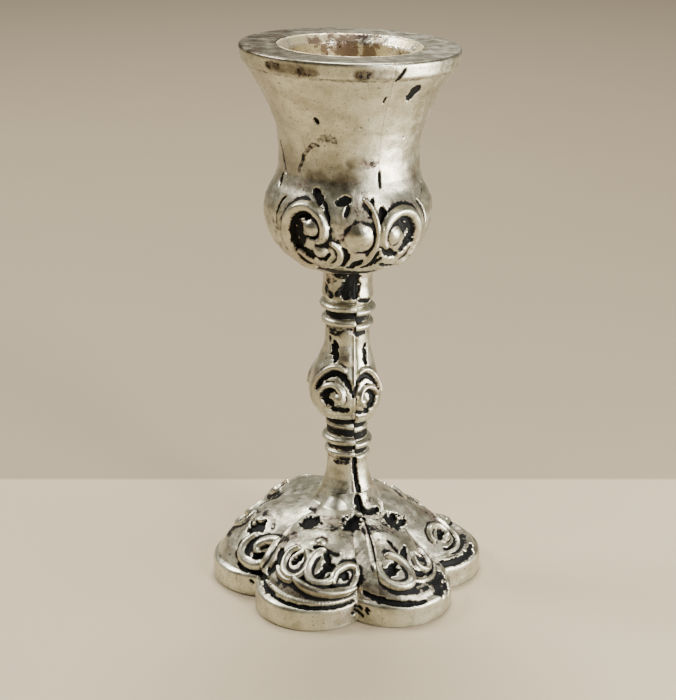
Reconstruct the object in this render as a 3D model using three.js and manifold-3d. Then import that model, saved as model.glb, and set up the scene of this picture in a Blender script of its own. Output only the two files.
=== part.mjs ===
// A small cast candlestick: a flared candle cup, a baluster stem and a six-lobed foot.
// Each of the three castings is made in two halves that meet on one upright seam plane.
// A threaded rod with a nut at each end draws cup, stem and foot together, and felt closes the foot.
// Millimetres, +Z up, origin at the middle of the felt's underside. The front is -Y.
import * as THREE from "three";
import { mergeVertices } from "three/addons/utils/BufferGeometryUtils.js";
import Module from "manifold-3d";

const wasm = await Module();
wasm.setup();

// ---- Driving dimensions ----
const TOTAL_HEIGHT = 101.3;
const LIP_RADIUS = 19.2;
const FOOT_LOBE_OFFSET = 15.1; // from the axis to the centre of each lobe's arc
const FOOT_LOBE_RADIUS = 10.75; // of each lobe's arc
const LOBES = 6;
const FOOT_CUSP_ANGLE = rad(4.8); // one notch of the foot, measured from the front towards +X

const STEM_BOTTOM = 18.2; // where the stem stands on the foot
const STEM_TOP = 61.5; // where the cup stands on the stem
const JOINT_GAP = 0.1; // between castings that bear on each other
const SPIGOT_RADIUS = 3.1;
const SPIGOT_LENGTH = 2.4;
const SPIGOT_CLEARANCE = 0.2;

// Each casting's seam plane turns from the front towards +X and misses the axis by its offset.
const CUP_SEAM = { turn: rad(20), offset: 0.7 };
const STEM_SEAM = { turn: rad(12), offset: 0.55 };
const FOOT_SEAM = { turn: rad(12), offset: 1.2 };
const SEAM_GAP = 0.1; // the solder film between two halves
const MOULD_SHIFT = 0.8; // the stem's right half sits this much lower in the mould than its left
const FOOT_SLUMP = 3.0; // the foot's right half is this much flatter than its left, halfway down the slope

const ROD_RADIUS = 1.95; // M4 studding
const BORE_RADIUS = 2.4;
const ROD_BOTTOM = 3.4;
const ROD_TOP = 72.6;
const NUT_ACROSS_FLATS = 7.0;
const NUT_THICKNESS = 3.2;
const NUT_BORE_RADIUS = 2.05;

const SOCKET_MOUTH_RADIUS = 11.3; // takes a 22 mm taper candle
const SOCKET_FLOOR_RADIUS = 10.3;
const SOCKET_FLOOR = 76.6;
const LINER_WALL = 0.5;
const LINER_FLOOR = 0.8;
const LINER_FIT = 0.1;
const LINER_FUNNEL = 1.1; // how far the liner's mouth flares out over its last millimetre and a half

const FELT_THICKNESS = 1.2;
const FELT_PROUD = 0.3; // the felt stands this far below the metal
const FELT_REBATE = 2.4; // width of the rim left round the felt
const FOOT_SEAT = 11.2; // underside of the foot's boss, which the washer bears on
const WASHER_RADIUS = 6.4;
const WASHER_THICKNESS = 1.0;
const SPRING_WASHER_RADIUS = 3.6;
const SPRING_WASHER_THICKNESS = 0.9;
const CUP_NUT_SEAT = 67.5;
const CUP_NUT_POCKET_RADIUS = 4.4;

// ---- Materials ----
const silverPlate = new THREE.MeshStandardMaterial({ color: 0xc9c4b6, roughness: 0.3, metalness: 1.0 });
const linerSilver = new THREE.MeshStandardMaterial({ color: 0xd8d2c2, roughness: 0.25, metalness: 1.0 });
const zincSteel = new THREE.MeshStandardMaterial({ color: 0x9fa2a6, roughness: 0.4, metalness: 1.0 });
const feltGreen = new THREE.MeshStandardMaterial({ color: 0x1f3b2c, roughness: 0.95, metalness: 0.0 });

function rad(degrees) {
  return (degrees * Math.PI) / 180;
}

function smoothstep(low, high, x) {
  const t = Math.min(1, Math.max(0, (x - low) / (high - low)));
  return t * t * (3 - 2 * t);
}

// ---- Solids ----
function solidOf(geometry) {
  const bare = geometry.index ? geometry.toNonIndexed() : geometry.clone();
  bare.deleteAttribute("normal");
  bare.deleteAttribute("uv");
  const merged = mergeVertices(bare, 1e-4);
  return new wasm.Manifold(
    new wasm.Mesh({
      numProp: 3,
      vertProperties: merged.attributes.position.array,
      triVerts: new Uint32Array(merged.index.array),
    }),
  );
}

function geometryOf(solid) {
  const mesh = solid.getMesh();
  const geometry = new THREE.BufferGeometry();
  geometry.setAttribute("position", new THREE.BufferAttribute(mesh.vertProperties, 3));
  geometry.setIndex(new THREE.BufferAttribute(mesh.triVerts, 1));
  geometry.computeVertexNormals();
  return geometry;
}

function named(name, geometry, material) {
  const mesh = new THREE.Mesh(geometry, material);
  mesh.name = name;
  return mesh;
}

// Turns a profile of [radius, height] pairs round the Z axis. It runs up the outside and down the inside.
// The facets start at a notch of the foot, so that every notch and lobe gets an edge of its own.
function turned(profile, segments) {
  const points = profile.map(([r, z]) => new THREE.Vector2(r, z));
  return new THREE.LatheGeometry(points, segments, FOOT_CUSP_ANGLE, 2 * Math.PI).rotateX(Math.PI / 2);
}

// Moves each vertex to the [radius, height] that reshape(radius, angle from the front, height) gives.
function reshaped(geometry, reshape) {
  const position = geometry.attributes.position;
  for (let i = 0; i < position.count; i++) {
    const x = position.getX(i);
    const y = position.getY(i);
    const r = Math.hypot(x, y);
    if (r < 1e-6) continue;
    const [newRadius, newHeight] = reshape(r, Math.atan2(x, -y), position.getZ(i));
    position.setXYZ(i, (x * newRadius) / r, (y * newRadius) / r, newHeight);
  }
  return geometry;
}

// ---- The seam plane that parts each casting ----
const LEFT = -1;
const RIGHT = 1;

function halfSpace(seam, side) {
  const size = 300;
  const box = new THREE.BoxGeometry(size, size, size);
  box.translate(seam.offset + side * (SEAM_GAP / 2 + size / 2), 0, 0);
  return solidOf(box.rotateZ(seam.turn));
}

function halves(name, seam, leftGeometry, rightGeometry) {
  const left = solidOf(leftGeometry).intersect(halfSpace(seam, LEFT));
  const right = solidOf(rightGeometry).intersect(halfSpace(seam, RIGHT));
  return [
    named(name + "_left_half", geometryOf(left), silverPlate),
    named(name + "_right_half", geometryOf(right), silverPlate),
  ];
}

// ---- Foot ----
// The six-lobed outline's radius at an angle from the front: an arc for each lobe.
function outlineRadius(angle) {
  const pitch = (2 * Math.PI) / LOBES;
  const turns = (angle - FOOT_CUSP_ANGLE) / pitch;
  const fromLobe = (turns - Math.floor(turns) - 0.5) * pitch;
  const across = FOOT_LOBE_OFFSET * Math.sin(fromLobe);
  return FOOT_LOBE_OFFSET * Math.cos(fromLobe) + Math.sqrt(FOOT_LOBE_RADIUS ** 2 - across ** 2);
}

const FOOT_RADIUS = FOOT_LOBE_OFFSET + FOOT_LOBE_RADIUS;

// Draws the round foot in to its lobes, swells the collar's petals and flattens the right half's slope.
function footLobes(r, angle, z) {
  const share = smoothstep(5.8, 11, r);
  const petal = 0.25 * Math.cos(LOBES * (angle - FOOT_CUSP_ANGLE) + Math.PI);
  const collar = petal * smoothstep(4.4, 5.2, r) * (1 - smoothstep(5.8, 8, r)) * smoothstep(13, 15, z);
  const slope = smoothstep(6.5, 20.5, r) * (1 - smoothstep(21.5, 25, r)) * smoothstep(3.9, 5, z);
  const awayFromSeam = smoothstep(0, 0.8, Math.sin(angle - FOOT_SEAM.turn));
  const newRadius = r * (1 + share * (outlineRadius(angle) / FOOT_RADIUS - 1)) + collar;
  return [newRadius, z - FOOT_SLUMP * slope * awayFromSeam];
}

function footProfile() {
  const metalBottom = FELT_PROUD;
  const rebateRadius = FOOT_RADIUS - FELT_REBATE;
  const recess = SPIGOT_RADIUS + SPIGOT_CLEARANCE;
  const recessFloor = STEM_BOTTOM - SPIGOT_LENGTH - SPIGOT_CLEARANCE;
  const outside = [
    [FOOT_RADIUS, metalBottom],
    [FOOT_RADIUS, 3.8],
    [FOOT_RADIUS - 0.35, 4.4],
    [24.9, 4.6],
    [24.5, 5.3],
    [23.3, 7.2],
    [21.2, 9.3],
    [18.6, 11.2],
    [15.8, 12.7],
    [13.2, 13.7],
    [10.5, 14.3],
    [8.2, 14.7],
    [6.4, 15.0],
    [5.8, 15.5],
    [5.5, 16.4],
    [5.0, 17.3],
    [4.3, STEM_BOTTOM - JOINT_GAP],
  ];
  const inside = [
    [recess, STEM_BOTTOM - JOINT_GAP],
    [recess, recessFloor],
    [BORE_RADIUS, recessFloor],
    [BORE_RADIUS, FOOT_SEAT],
    [7.8, FOOT_SEAT],
    [11.6, 10.7],
    [15.0, 9.4],
    [18.4, 6.8],
    [20.4, 4.2],
    [21.4, FELT_PROUD + 1.1],
    [rebateRadius, FELT_PROUD + 1.1],
    [rebateRadius, metalBottom],
  ];
  return [...outside, ...inside, outside[0]];
}

function foot() {
  const segments = 60;
  const make = () => reshaped(turned(footProfile(), segments), footLobes);
  return halves("foot", FOOT_SEAM, make(), make());
}

function feltPad() {
  const fit = 0.3;
  const shrink = (FOOT_RADIUS - FELT_REBATE - fit) / FOOT_RADIUS;
  const steps = 60;
  const outline = [];
  for (let i = 0; i < steps; i++) {
    const angle = FOOT_CUSP_ANGLE + (2 * Math.PI * i) / steps;
    const r = outlineRadius(angle) * shrink;
    outline.push(new THREE.Vector2(r * Math.sin(angle), -r * Math.cos(angle)));
  }
  const geometry = new THREE.ExtrudeGeometry(new THREE.Shape(outline), {
    depth: FELT_THICKNESS,
    bevelEnabled: false,
  });
  return named("felt_pad", geometry, feltGreen);
}

// ---- Stem ----
// One round moulding: a half-round bead on the profile.
function bead(z, radius, height, root) {
  return [
    [root, z - height / 2],
    [radius - 0.25, z - height * 0.3],
    [radius, z],
    [radius - 0.25, z + height * 0.3],
    [root, z + height / 2],
  ];
}

function stemProfile(shift) {
  const spigotBottom = STEM_BOTTOM - SPIGOT_LENGTH;
  const spigotTop = STEM_TOP + SPIGOT_LENGTH;
  const lower = (points) => points.map(([r, z]) => [r, z - shift]);
  return [
    [BORE_RADIUS, spigotBottom],
    [SPIGOT_RADIUS, spigotBottom],
    [SPIGOT_RADIUS, STEM_BOTTOM],
    [4.15, STEM_BOTTOM],
    [3.85, 19.6],
    [3.78, 21.2],
    [3.78, 23.4],
    ...lower(bead(25.7, 4.25, 1.3, 3.9)),
    ...lower(bead(28.6, 4.7, 2.1, 4.0)),
    ...lower(bead(31.5, 4.2, 0.7, 3.95)),
    ...lower([
      [4.4, 32.8],
      [5.0, 33.4],
      [6.3, 35.2],
      [6.8, 36.9],
      [6.85, 38.1],
      [6.6, 39.8],
      [6.1, 41.7],
      [5.3, 43.7],
      [4.6, 45.7],
      [4.2, 47.4],
      [4.1, 49.4],
    ]),
    ...lower(bead(51.8, 4.85, 1.9, 4.2)),
    ...lower(bead(54.7, 5.2, 2.0, 4.2)),
    [4.75, 56.4],
    [4.5, 58.4],
    [4.5, 60.2],
    [4.8, STEM_TOP],
    [SPIGOT_RADIUS, STEM_TOP],
    [SPIGOT_RADIUS, spigotTop],
    [BORE_RADIUS, spigotTop],
    [BORE_RADIUS, spigotBottom],
  ];
}

// The baluster swells over its six scroll bosses.
function knopLobes(r, angle, z) {
  const swell = smoothstep(33, 36.5, z) * (1 - smoothstep(38.5, 44.5, z));
  const isOutside = r > SPIGOT_RADIUS + 0.1;
  const boss = 0.2 * swell * Math.cos(LOBES * (angle - FOOT_CUSP_ANGLE));
  return [isOutside ? r + boss : r, z];
}

function stem() {
  const segments = 30;
  const make = (shift) => reshaped(turned(stemProfile(shift), segments), knopLobes);
  return halves("stem", STEM_SEAM, make(0), make(MOULD_SHIFT));
}

// ---- Cup ----
function linerOutside(z) {
  const share = (z - SOCKET_FLOOR) / (TOTAL_HEIGHT - SOCKET_FLOOR);
  return SOCKET_FLOOR_RADIUS + share * (SOCKET_MOUTH_RADIUS - SOCKET_FLOOR_RADIUS) + LINER_WALL;
}

const FUNNEL_START = TOTAL_HEIGHT - 1.5;
const LINER_BOTTOM = SOCKET_FLOOR - LINER_FLOOR;

function cupProfile() {
  const bottom = STEM_TOP + JOINT_GAP;
  const recess = SPIGOT_RADIUS + SPIGOT_CLEARANCE;
  const recessTop = STEM_TOP + SPIGOT_LENGTH + SPIGOT_CLEARANCE;
  const linerSeat = LINER_BOTTOM - LINER_FIT;
  const wall = (z) => linerOutside(z) + LINER_FIT;
  const outside = [
    [recess, bottom],
    [5.2, bottom],
    [8.0, 62.4],
    [10.3, 63.6],
    [12.0, 65.0],
    [13.2, 66.7],
    [14.2, 69.0],
    [14.7, 71.2],
    [14.8, 73.0],
    [14.45, 74.8],
    [13.6, 76.4],
    [12.6, 77.8],
    [12.35, 80.0],
    [12.35, 83.0],
    [12.65, 85.6],
    [13.2, 88.2],
    [14.3, 91.0],
    [15.7, 93.8],
    [17.3, 96.3],
    [18.5, 98.0],
    [19.0, 98.8],
    [LIP_RADIUS, 99.8],
    [LIP_RADIUS - 0.05, 100.8],
    [LIP_RADIUS - 0.4, TOTAL_HEIGHT],
  ];
  const inside = [
    [wall(TOTAL_HEIGHT) + LINER_FUNNEL, TOTAL_HEIGHT],
    [wall(FUNNEL_START), FUNNEL_START],
    [wall(linerSeat), linerSeat],
    [CUP_NUT_POCKET_RADIUS, linerSeat],
    [CUP_NUT_POCKET_RADIUS, CUP_NUT_SEAT],
    [BORE_RADIUS, CUP_NUT_SEAT],
    [BORE_RADIUS, recessTop],
    [recess, recessTop],
  ];
  return [...outside, ...inside, outside[0]];
}

// The bowl swells over its six scroll bosses.
function bowlLobes(r, angle, z) {
  const isOutside = r > linerOutside(z) + LINER_FIT + 0.1;
  const swell = smoothstep(63, 69, z) * (1 - smoothstep(74, 78, z));
  const boss = 0.3 * swell * Math.cos(LOBES * (angle - FOOT_CUSP_ANGLE) + Math.PI);
  return [isOutside ? r + boss : r, z];
}

function cup() {
  const segments = 48;
  const make = () => reshaped(turned(cupProfile(), segments), bowlLobes);
  return halves("cup", CUP_SEAM, make(), make());
}

function socketLiner() {
  const top = TOTAL_HEIGHT;
  const profile = [
    [0, LINER_BOTTOM],
    [linerOutside(LINER_BOTTOM), LINER_BOTTOM],
    [linerOutside(FUNNEL_START), FUNNEL_START],
    [linerOutside(top) + LINER_FUNNEL, top],
    [linerOutside(top) + LINER_FUNNEL - LINER_WALL, top],
    [linerOutside(FUNNEL_START) - LINER_WALL, FUNNEL_START],
    [linerOutside(SOCKET_FLOOR) - LINER_WALL, SOCKET_FLOOR],
    [0, SOCKET_FLOOR],
  ];
  return named("socket_liner", turned(profile, 48), linerSilver);
}

// ---- Fasteners ----
function tieRod() {
  const chamfer = 0.4;
  const profile = [
    [0, ROD_BOTTOM],
    [ROD_RADIUS - chamfer, ROD_BOTTOM],
    [ROD_RADIUS, ROD_BOTTOM + chamfer],
    [ROD_RADIUS, ROD_TOP - chamfer],
    [ROD_RADIUS - chamfer, ROD_TOP],
    [0, ROD_TOP],
  ];
  return named("tie_rod", turned(profile, 20), zincSteel);
}

function hexNut(name, bottom) {
  const corner = NUT_ACROSS_FLATS / Math.sqrt(3);
  const prism = new THREE.CylinderGeometry(corner, corner, NUT_THICKNESS, 6);
  prism.rotateX(Math.PI / 2).translate(0, 0, bottom + NUT_THICKNESS / 2);
  const bevel = 0.45;
  const flat = NUT_ACROSS_FLATS / 2;
  const top = bottom + NUT_THICKNESS;
  const rounding = turned(
    [
      [0, bottom],
      [flat, bottom],
      [corner, bottom + bevel],
      [corner, top - bevel],
      [flat, top],
      [0, top],
    ],
    36,
  );
  const hole = new THREE.CylinderGeometry(NUT_BORE_RADIUS, NUT_BORE_RADIUS, 3 * NUT_THICKNESS, 20);
  hole.rotateX(Math.PI / 2).translate(0, 0, bottom);
  const nut = solidOf(prism).intersect(solidOf(rounding)).subtract(solidOf(hole));
  return named(name, geometryOf(nut), zincSteel);
}

function ring(name, outerRadius, innerRadius, thickness, bottom, gapAngle) {
  const shape = new THREE.Shape();
  const start = gapAngle / 2;
  const end = 2 * Math.PI - gapAngle / 2;
  shape.absarc(0, 0, outerRadius, start, end, false);
  if (gapAngle > 0) {
    shape.absarc(0, 0, innerRadius, end, start, true);
    shape.closePath();
  } else {
    shape.holes.push(new THREE.Path().absarc(0, 0, innerRadius, 0, 2 * Math.PI, true));
  }
  const options = { depth: thickness, bevelEnabled: false, curveSegments: 30 };
  const geometry = new THREE.ExtrudeGeometry(shape, options).translate(0, 0, bottom);
  return named(name, geometry, zincSteel);
}

function footFasteners() {
  const washerBottom = FOOT_SEAT - JOINT_GAP - WASHER_THICKNESS;
  const springBottom = washerBottom - JOINT_GAP - SPRING_WASHER_THICKNESS;
  const nutBottom = springBottom - JOINT_GAP - NUT_THICKNESS;
  const hole = NUT_BORE_RADIUS + 0.2;
  return [
    ring("foot_washer", WASHER_RADIUS, hole, WASHER_THICKNESS, washerBottom, 0),
    ring("spring_washer", SPRING_WASHER_RADIUS, hole, SPRING_WASHER_THICKNESS, springBottom, rad(14)),
    hexNut("foot_nut", nutBottom),
  ];
}

// ---- The assembly ----
const cupUnit = new THREE.Group().add(...cup(), socketLiner());
const stemUnit = new THREE.Group().add(...stem());
const footUnit = new THREE.Group().add(...foot(), feltPad());
const fasteners = new THREE.Group().add(
  tieRod(),
  hexNut("cup_nut", CUP_NUT_SEAT + JOINT_GAP),
  ...footFasteners(),
);
const candlestick = new THREE.Group().add(cupUnit, stemUnit, footUnit, fasteners);

export default candlestick;
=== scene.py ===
import math

import bpy
import numpy as np
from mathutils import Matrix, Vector

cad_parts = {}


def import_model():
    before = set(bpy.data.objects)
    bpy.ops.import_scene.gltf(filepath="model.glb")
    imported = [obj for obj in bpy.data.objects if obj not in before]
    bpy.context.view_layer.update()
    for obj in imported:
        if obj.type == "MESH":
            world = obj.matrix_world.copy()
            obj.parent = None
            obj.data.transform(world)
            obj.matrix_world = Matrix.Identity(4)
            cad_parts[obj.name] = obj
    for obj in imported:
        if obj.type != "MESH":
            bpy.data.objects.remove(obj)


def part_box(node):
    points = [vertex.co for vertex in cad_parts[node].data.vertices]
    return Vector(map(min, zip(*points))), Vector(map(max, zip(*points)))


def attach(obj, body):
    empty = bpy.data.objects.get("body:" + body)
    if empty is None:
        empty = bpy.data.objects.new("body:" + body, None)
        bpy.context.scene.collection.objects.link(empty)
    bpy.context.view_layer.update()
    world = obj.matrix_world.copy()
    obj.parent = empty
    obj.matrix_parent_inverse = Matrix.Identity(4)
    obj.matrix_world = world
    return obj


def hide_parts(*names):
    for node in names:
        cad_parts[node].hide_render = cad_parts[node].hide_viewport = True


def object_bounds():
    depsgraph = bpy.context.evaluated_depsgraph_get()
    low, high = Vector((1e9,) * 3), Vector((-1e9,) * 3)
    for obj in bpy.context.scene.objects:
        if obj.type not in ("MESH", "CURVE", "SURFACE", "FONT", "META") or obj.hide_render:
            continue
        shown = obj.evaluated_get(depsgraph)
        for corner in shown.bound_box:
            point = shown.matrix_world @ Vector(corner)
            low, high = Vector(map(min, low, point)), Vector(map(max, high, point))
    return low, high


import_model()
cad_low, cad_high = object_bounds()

# A small cast candlestick. Lengths are in millimetres until a mesh is made.
# Angles are in degrees from the front (-Y) towards +X.
# Each casting is two halves that meet on an upright seam plane. Its outside is a fine grid that
# carries the scrollwork as real relief, made of spirals, hanging curves and short dashes.
MM = 0.001
LEFT, RIGHT = -1, 1


def smoothstep(low, high, x):
    t = np.clip((x - low) / (high - low), 0.0, 1.0)
    return t * t * (3 - 2 * t)


def plateau(x, start, full, fall, end):
    """Rises from 0 at start to 1 at full, and falls from fall to 0 at end."""
    return smoothstep(start, full, x) * (1 - smoothstep(fall, end, x))


def bell(x, centre, width):
    return np.exp(-(((x - centre) / width) ** 2))


def full_turn(columns):
    return np.linspace(0, 2 * np.pi, columns, endpoint=False)


def round_points(r, a, z):
    """Points at radius r and height z, turned by a radians from the front towards +X."""
    return np.stack(np.broadcast_arrays(r * np.sin(a), -r * np.cos(a), z), axis=-1)


def top_of(node):
    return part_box(node)[1].z / MM


def bottom_of(node):
    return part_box(node)[0].z / MM


# ---- Driving dimensions, from the frame where it has them ----
HEIGHT = cad_high.z / MM
STEM_BOTTOM = top_of("foot_left_half") + 0.1
STEM_TOP = bottom_of("cup_left_half") - 0.1
LOBES = 6
LOBE_OFFSET, LOBE_RADIUS = 15.1, 10.75
FOOT_RADIUS = LOBE_OFFSET + LOBE_RADIUS
CUSP = 4.8
SEAM_GAP = 0.04
SEAMS = {"cup": (20.0, 0.7), "stem": (12.0, 0.55), "foot": (12.0, 1.2)}
MOULD_SHIFT = 0.8  # the stem's right half sits this much lower in the mould than its left
FOOT_SLUMP = 3.0  # the foot's right half is this much flatter, halfway down its slope
BALUSTER_SHIFT, CUP_LEAN, CUP_TIP = 0.55, 0.35, 0.028
BORE_RADIUS = 2.4
SPIGOT_RADIUS, SPIGOT_LENGTH, SPIGOT_CLEARANCE = 3.1, 2.4, 0.2
SOCKET_MOUTH_RADIUS, SOCKET_FLOOR_RADIUS = 11.3, 10.3
SOCKET_FLOOR = bottom_of("socket_liner") + 0.8
LINER_WALL, LINER_FIT, LINER_FUNNEL = 0.5, 0.1, 1.1
FUNNEL_START = HEIGHT - 1.5
FELT_TOP = top_of("felt_pad")
METAL_BOTTOM = bottom_of("foot_left_half")
REBATE = 2.4
THREAD_PITCH, ROD_RADIUS, NUT_BORE_RADIUS = 0.7, 1.95, 2.05
WASHER_BORE_RADIUS, FOOT_WASHER_RADIUS, SPRING_WASHER_RADIUS = 2.25, 6.4, 3.6


# ---- Numbers ----
def value_noise(points, size, seed):
    """Smooth noise from -1 to 1, with bumps about size millimetres across."""
    count = 32
    table = np.random.default_rng(seed).random((count, count, count)) * 2 - 1
    q = points / size + 100.0
    cell = np.floor(q).astype(int)
    f = q - cell
    f = f * f * (3 - 2 * f)
    total = 0.0
    for corner in range(8):
        step = np.array([corner & 1, corner >> 1 & 1, corner >> 2 & 1])
        weight = np.prod(np.where(step == 1, f, 1 - f), axis=-1)
        i = (cell + step) % count
        total = total + weight * table[i[..., 0], i[..., 1], i[..., 2]]
    return total


def patches(points, size, seed, bias=0.0):
    """Soft patches from 0 to 1, with bare places between them."""
    return np.clip(value_noise(points, size, seed) + bias, 0, 1)


def blurred(field, rows, columns):
    """A soft blur by two box filters each way."""
    for axis, reach in ((0, rows), (1, columns)):
        for _ in range(2):
            pad = [(reach + 1, reach) if a == axis else (0, 0) for a in (0, 1)]
            sums = np.cumsum(np.pad(field, pad, mode="edge"), axis=axis)
            high = np.take(sums, range(2 * reach + 1, sums.shape[axis]), axis=axis)
            low = np.take(sums, range(0, sums.shape[axis] - 2 * reach - 1), axis=axis)
            field = (high - low) / (2 * reach + 1)
    return field


def smooth_path(points, step=0.1):
    """A smooth curve through the points, as a dense list of points, by Catmull-Rom."""
    p = np.array(points, float)
    if len(p) < 3:
        return p[0] + (p[-1] - p[0]) * np.linspace(0, 1, 24)[:, None]
    p = np.vstack([2 * p[0] - p[1], p, 2 * p[-1] - p[-2]])
    t = np.linspace(0, 1, max(4, int(1 / step)), endpoint=False)[:, None]
    spans = []
    for a, b, c, d in zip(p, p[1:], p[2:], p[3:]):
        spans.append(b + 0.5 * t * (c - a + t * (2 * a - 5 * b + 4 * c - d + t * (3 * (b - c) + d - a))))
    return np.vstack(spans + [p[-2:-1]])


def softened(profile, radius, step=0.03):
    """The profile at small even steps, with its corners rounded, as rows of length, r and z."""
    p = np.array(profile, float)
    length = np.concatenate([[0], np.cumsum(np.hypot(*np.diff(p, axis=0).T))])
    s = np.arange(0, length[-1] + step / 2, step)
    r = np.interp(s, length, p[:, 0])
    z = np.interp(s, length, p[:, 1])
    reach = int(2.5 * radius / step)
    kernel = np.exp(-0.5 * (np.arange(-reach, reach + 1) * step / radius) ** 2)
    kernel /= kernel.sum()

    def soften(v):
        ends = np.concatenate([2 * v[0] - v[reach:0:-1], v, 2 * v[-1] - v[-2 : -reach - 2 : -1]])
        return np.convolve(ends, kernel, mode="valid")

    return np.stack([s, soften(r), soften(z)], axis=1)


def outline_radius(degrees):
    """The foot's six-lobed outline: an arc for each lobe."""
    pitch = 360 / LOBES
    turns = (degrees - CUSP) / pitch
    from_lobe = np.radians((turns - np.floor(turns) - 0.5) * pitch)
    across = LOBE_OFFSET * np.sin(from_lobe)
    return LOBE_OFFSET * np.cos(from_lobe) + np.sqrt(LOBE_RADIUS**2 - across**2)


def lean(p):
    """The casting isn't true: the baluster sits to one side, and the cup leans and tips a little."""
    out = p.copy()
    z = p[..., 2]
    out[..., 0] += CUP_LEAN * smoothstep(60, 101, z) - BALUSTER_SHIFT * bell(z, 38, 6)
    out[..., 2] -= CUP_TIP * p[..., 0] * smoothstep(60, 70, z)
    return out


# ---- Meshes ----
def grid_mesh(name, points, close_columns=False, close_rows=False, sharp_rows=(), attributes=None):
    """A closed mesh from points [row, column]. Rows run up the outside, and columns turn towards +X."""
    rows, columns = points.shape[:2]
    index = np.arange(rows * columns).reshape(rows, columns)
    i = np.arange(rows if close_rows else rows - 1)
    j = np.arange(columns if close_columns else columns - 1)
    i2, j2 = (i + 1) % rows, (j + 1) % columns
    corners = [index[np.ix_(a, b)] for a, b in ((i, j), (i, j2), (i2, j2), (i2, j))]
    quads = np.stack(corners, axis=-1).reshape(-1, 4)
    caps = []
    if close_rows and not close_columns:
        caps = [index[:, 0], index[::-1, -1]]
    if close_columns and not close_rows:
        caps = [index[0, ::-1], index[-1, :]]
    mesh = bpy.data.meshes.new(name)
    vertices = lean(points).reshape(-1, 3) * MM
    mesh.vertices.add(len(vertices))
    mesh.vertices.foreach_set("co", vertices.astype(np.float32).ravel())
    loops = np.concatenate([quads.ravel(), *caps])
    sizes = np.array([4] * len(quads) + [len(c) for c in caps])
    mesh.loops.add(len(loops))
    mesh.loops.foreach_set("vertex_index", loops.astype(np.int32))
    mesh.polygons.add(len(sizes))
    mesh.polygons.foreach_set("loop_start", (np.cumsum(sizes) - sizes).astype(np.int32))
    mesh.update(calc_edges=True)
    mesh.validate()
    mesh.polygons.foreach_set("use_smooth", np.ones(len(mesh.polygons), bool))
    ends = np.zeros(len(mesh.edges) * 2, np.int32)
    mesh.edges.foreach_get("vertices", ends)
    ends = ends.reshape(-1, 2)
    row_of, column_of = ends // columns, ends % columns
    sharp = np.zeros(len(ends), bool)
    for row in sharp_rows:
        sharp |= (row_of == row % rows).all(axis=1)
    if len(caps) and close_rows:
        for column in (0, columns - 1):
            sharp |= (column_of == column).all(axis=1)
    mesh.attributes.new("sharp_edge", "BOOLEAN", "EDGE").data.foreach_set("value", sharp)
    for key, values in (attributes or {}).items():
        layer = mesh.attributes.new(key, "FLOAT", "POINT")
        layer.data.foreach_set("value", values.astype(np.float32).ravel())
    obj = bpy.data.objects.new(name, mesh)
    bpy.context.scene.collection.objects.link(obj)
    return obj


def install(obj, node, material):
    obj.data.materials.append(material)
    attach(obj, "root")
    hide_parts(node)
    return obj


# ---- Materials ----
class Nodes:
    """A material's node tree, with short calls for the nodes it needs."""

    def __init__(self, name):
        self.material = bpy.data.materials.new(name)
        self.material.use_nodes = True
        self.tree = self.material.node_tree
        self.shader = self.tree.nodes["Principled BSDF"]
        self.place = self.tree.nodes.new("ShaderNodeTexCoord").outputs["Object"]

    def feed(self, socket, value):
        if isinstance(value, bpy.types.NodeSocket):
            self.tree.links.new(value, socket)
        else:
            socket.default_value = value

    def noise(self, size, detail=4.0, rough=0.55, stretch=(1, 1, 1)):
        """Noise with bumps about size metres across."""
        mapping = self.tree.nodes.new("ShaderNodeMapping")
        mapping.inputs["Scale"].default_value = stretch
        self.tree.links.new(self.place, mapping.inputs["Vector"])
        node = self.tree.nodes.new("ShaderNodeTexNoise")
        node.inputs["Scale"].default_value = 1 / size
        node.inputs["Detail"].default_value = detail
        node.inputs["Roughness"].default_value = rough
        self.tree.links.new(mapping.outputs["Vector"], node.inputs["Vector"])
        return node.outputs["Fac"]

    def attribute(self, name):
        node = self.tree.nodes.new("ShaderNodeAttribute")
        node.attribute_name = name
        return node.outputs["Fac"]

    def ramp(self, value, low, high, to_low=0.0, to_high=1.0):
        node = self.tree.nodes.new("ShaderNodeMapRange")
        node.interpolation_type = "SMOOTHSTEP"
        self.feed(node.inputs["Value"], value)
        for key, v in (("From Min", low), ("From Max", high), ("To Min", to_low), ("To Max", to_high)):
            node.inputs[key].default_value = v
        return node.outputs["Result"]

    def math(self, operation, a, b):
        node = self.tree.nodes.new("ShaderNodeMath")
        node.operation = operation
        self.feed(node.inputs[0], a)
        self.feed(node.inputs[1], b)
        return node.outputs["Value"]

    def times(self, a, b):
        return self.math("MULTIPLY", a, b)

    def mix(self, share, a, b):
        node = self.tree.nodes.new("ShaderNodeMix")
        node.data_type = "RGBA"
        self.feed(node.inputs[0], share)
        for socket, colour in ((node.inputs[6], a), (node.inputs[7], b)):
            self.feed(socket, colour if isinstance(colour, bpy.types.NodeSocket) else (*colour, 1.0))
        return node.outputs[2]

    def between(self, share, a, b):
        """A number from a to b."""
        node = self.tree.nodes.new("ShaderNodeMix")
        self.feed(node.inputs[0], share)
        self.feed(node.inputs[2], a)
        self.feed(node.inputs[3], b)
        return node.outputs[0]

    def bump(self, height, distance, strength=1.0):
        node = self.tree.nodes.new("ShaderNodeBump")
        node.inputs["Distance"].default_value = distance
        node.inputs["Strength"].default_value = strength
        self.feed(node.inputs["Height"], height)
        return node.outputs["Normal"]

    def finish(self, **inputs):
        for key, value in inputs.items():
            self.feed(self.shader.inputs[key.replace("_", " ")], value)
        return self.material


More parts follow.
